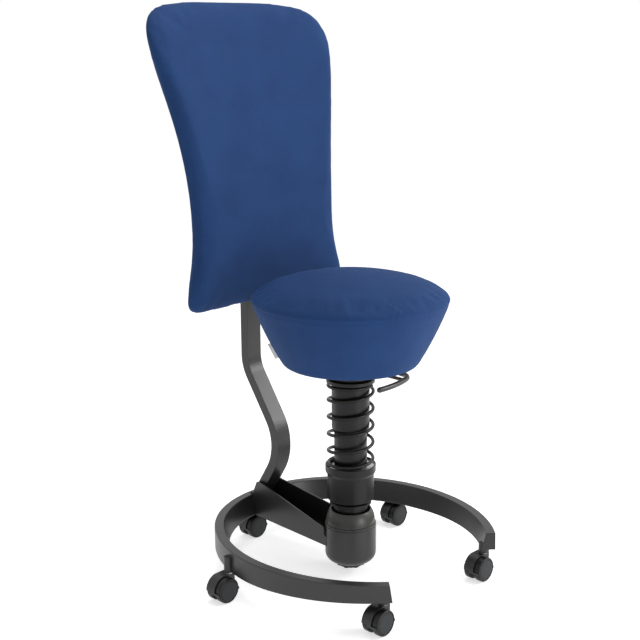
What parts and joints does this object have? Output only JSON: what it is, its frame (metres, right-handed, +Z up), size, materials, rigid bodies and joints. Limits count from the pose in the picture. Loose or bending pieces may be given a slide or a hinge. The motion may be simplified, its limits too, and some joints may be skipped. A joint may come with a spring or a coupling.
{
  "type": "balance stool with backrest",
  "caption": "Balance stool with a round padded seat on a sprung column that rocks in a rubber buffer, an open foot ring on casters and a tall padded backrest.",
  "frame": {"origin": "on the floor, under the axis of the column", "axes": "+Z up, +Y towards the backrest, +X to the sitter's left"},
  "size_m": [0.5787, 0.6155, 1.156],
  "materials": {
    "charcoal_powder_coat": "satin powder coat",
    "black_paint": "satin black paint",
    "zinc_steel": "zinc plated steel",
    "chrome": "polished chrome",
    "buffer_rubber": "matt rubber with a soft sheen",
    "black_plastic": "moulded nylon, fine texture",
    "birch_board": "plywood, edges bare",
    "blue_fabric": "plain woven upholstery cloth",
    "white_label": "small woven label, bare"
  },
  "bodies": {
    "base": {"foot_ring": "charcoal_powder_coat", "channel_beam": "charcoal_powder_coat", "hub_cup": "charcoal_powder_coat", "back_post": "charcoal_powder_coat", "post_foot": "charcoal_powder_coat", "caster_stems": "zinc_steel", "back_plate": "charcoal_powder_coat", "back_screws": "zinc_steel", "back_shell": "black_plastic", "back_cushion": "blue_fabric"},
    "buffer": {"rubber_buffer": "buffer_rubber"},
    "column": {"ball_stud": "zinc_steel", "column_foot": "black_paint", "lower_tube": "black_paint", "guide_bush": "black_plastic"},
    "adjuster": {"adjuster_cup": "black_paint", "spring_seat": "zinc_steel"},
    "carriage": {"upper_tube": "black_paint", "spring_flange": "black_paint", "gas_cylinder": "black_paint", "gas_guide": "black_plastic", "coil_spring": "black_paint"},
    "lift": {"piston_tube": "chrome"},
    "valve": {"release_pin": "zinc_steel"},
    "seat": {"seat_hub": "black_paint", "lever_pin": "zinc_steel", "seat_pan": "birch_board", "seat_screws": "zinc_steel", "seat_cushion": "blue_fabric", "seat_tag": "white_label"},
    "lever": {"lift_lever": "charcoal_powder_coat"},
    "knob": {"tilt_screw": "zinc_steel", "tilt_knob": "black_plastic"},
    "caster_1": {"caster_hood_1": "black_plastic", "caster_axle_1": "zinc_steel"},
    "caster_1_l": {"wheel_1_l": "black_plastic"},
    "caster_1_r": {"wheel_1_r": "black_plastic"},
    "caster_2": {"caster_hood_2": "black_plastic", "caster_axle_2": "zinc_steel"},
    "caster_2_l": {"wheel_2_l": "black_plastic"},
    "caster_2_r": {"wheel_2_r": "black_plastic"},
    "caster_3": {"caster_hood_3": "black_plastic", "caster_axle_3": "zinc_steel"},
    "caster_3_l": {"wheel_3_l": "black_plastic"},
    "caster_3_r": {"wheel_3_r": "black_plastic"},
    "caster_4": {"caster_hood_4": "black_plastic", "caster_axle_4": "zinc_steel"},
    "caster_4_l": {"wheel_4_l": "black_plastic"},
    "caster_4_r": {"wheel_4_r": "black_plastic"},
    "caster_5": {"caster_hood_5": "black_plastic", "caster_axle_5": "zinc_steel"},
    "caster_5_l": {"wheel_5_l": "black_plastic"},
    "caster_5_r": {"wheel_5_r": "black_plastic"}
  },
  "joints": [
    {"name": "tilt_front_back", "type": "hinge", "parent": "base", "child": "buffer", "pos_m": [0, 0, 0.11], "axis": [1, 0, 0], "range_deg": [-1.5, 8], "stiffness_Nm_per_rad": 800},
    {"name": "tilt_side", "type": "hinge", "parent": "buffer", "child": "column", "pos_m": [0, 0, 0.11], "axis": [0, 1, 0], "range_deg": [-8, 8], "stiffness_Nm_per_rad": 800},
    {"name": "adjuster_turn", "type": "hinge", "parent": "column", "child": "adjuster", "pos_m": [0, 0, 0.19], "axis": [0, 0, 1], "range_deg": [0, 720]},
    {"name": "bounce", "type": "slide", "parent": "column", "child": "carriage", "axis": [0, 0, 1], "range_m": [-0.06, 0], "stiffness_N_per_m": 15000, "springref_m": 0.02, "deforming": ["coil_spring"]},
    {"name": "gas_lift", "type": "slide", "parent": "carriage", "child": "lift", "axis": [0, 0, 1], "range_m": [0, 0.13]},
    {"name": "release_push", "type": "slide", "parent": "lift", "child": "valve", "axis": [0, 0, 1], "range_m": [-0.0036, 0]},
    {"name": "seat_swivel", "type": "hinge", "parent": "lift", "child": "seat", "pos_m": [0, 0, 0.426], "axis": [0, 0, 1], "continuous": true},
    {"name": "lever_lift", "type": "hinge", "parent": "seat", "child": "lever", "pos_m": [0.00877, -0.02869, 0.437], "axis": [-0.9563, -0.2924, 0], "range_deg": [0, 6], "stiffness_Nm_per_rad": 1.5, "springref_deg": -11.46},
    {"name": "knob_turn", "type": "hinge", "parent": "base", "child": "knob", "pos_m": [0, 0, 0.02], "axis": [0, 0, 1], "range_deg": [0, 720]},
    {"name": "caster_swivel_1", "type": "hinge", "parent": "base", "child": "caster_1", "pos_m": [-0.15757, -0.22764, 0.045], "axis": [0, 0, 1], "continuous": true},
    {"name": "wheel_roll_1_l", "type": "hinge", "parent": "caster_1", "child": "caster_1_l", "pos_m": [-0.17357, -0.22764, 0.0255], "axis": [0, 1, 0], "continuous": true},
    {"name": "wheel_roll_1_r", "type": "hinge", "parent": "caster_1", "child": "caster_1_r", "pos_m": [-0.17357, -0.22764, 0.0255], "axis": [0, 1, 0], "continuous": true},
    {"name": "caster_swivel_2", "type": "hinge", "parent": "base", "child": "caster_2", "pos_m": [0.15757, -0.22764, 0.045], "axis": [0, 0, 1], "continuous": true},
    {"name": "wheel_roll_2_l", "type": "hinge", "parent": "caster_2", "child": "caster_2_l", "pos_m": [0.14157, -0.22764, 0.0255], "axis": [0, 1, 0], "continuous": true},
    {"name": "wheel_roll_2_r", "type": "hinge", "parent": "caster_2", "child": "caster_2_r", "pos_m": [0.14157, -0.22764, 0.0255], "axis": [0, 1, 0], "continuous": true},
    {"name": "caster_swivel_3", "type": "hinge", "parent": "base", "child": "caster_3", "pos_m": [0.26174, 0.08979, 0.045], "axis": [0, 0, 1], "continuous": true},
    {"name": "wheel_roll_3_l", "type": "hinge", "parent": "caster_3", "child": "caster_3_l", "pos_m": [0.24574, 0.08979, 0.0255], "axis": [0, 1, 0], "continuous": true},
    {"name": "wheel_roll_3_r", "type": "hinge", "parent": "caster_3", "child": "caster_3_r", "pos_m": [0.24574, 0.08979, 0.0255], "axis": [0, 1, 0], "continuous": true},
    {"name": "caster_swivel_4", "type": "hinge", "parent": "base", "child": "caster_4", "pos_m": [0, 0.28, 0.045], "axis": [0, 0, 1], "continuous": true},
    {"name": "wheel_roll_4_l", "type": "hinge", "parent": "caster_4", "child": "caster_4_l", "pos_m": [-0.016, 0.28, 0.0255], "axis": [0, 1, 0], "continuous": true},
    {"name": "wheel_roll_4_r", "type": "hinge", "parent": "caster_4", "child": "caster_4_r", "pos_m": [-0.016, 0.28, 0.0255], "axis": [0, 1, 0], "continuous": true},
    {"name": "caster_swivel_5", "type": "hinge", "parent": "base", "child": "caster_5", "pos_m": [-0.26174, 0.08979, 0.045], "axis": [0, 0, 1], "continuous": true},
    {"name": "wheel_roll_5_l", "type": "hinge", "parent": "caster_5", "child": "caster_5_l", "pos_m": [-0.27774, 0.08979, 0.0255], "axis": [0, 1, 0], "continuous": true},
    {"name": "wheel_roll_5_r", "type": "hinge", "parent": "caster_5", "child": "caster_5_r", "pos_m": [-0.27774, 0.08979, 0.0255], "axis": [0, 1, 0], "continuous": true}
  ],
  "couplings": [
    {"joint": "release_push", "follows": "lever_lift", "m_per_rad": -0.0343}
  ]
}
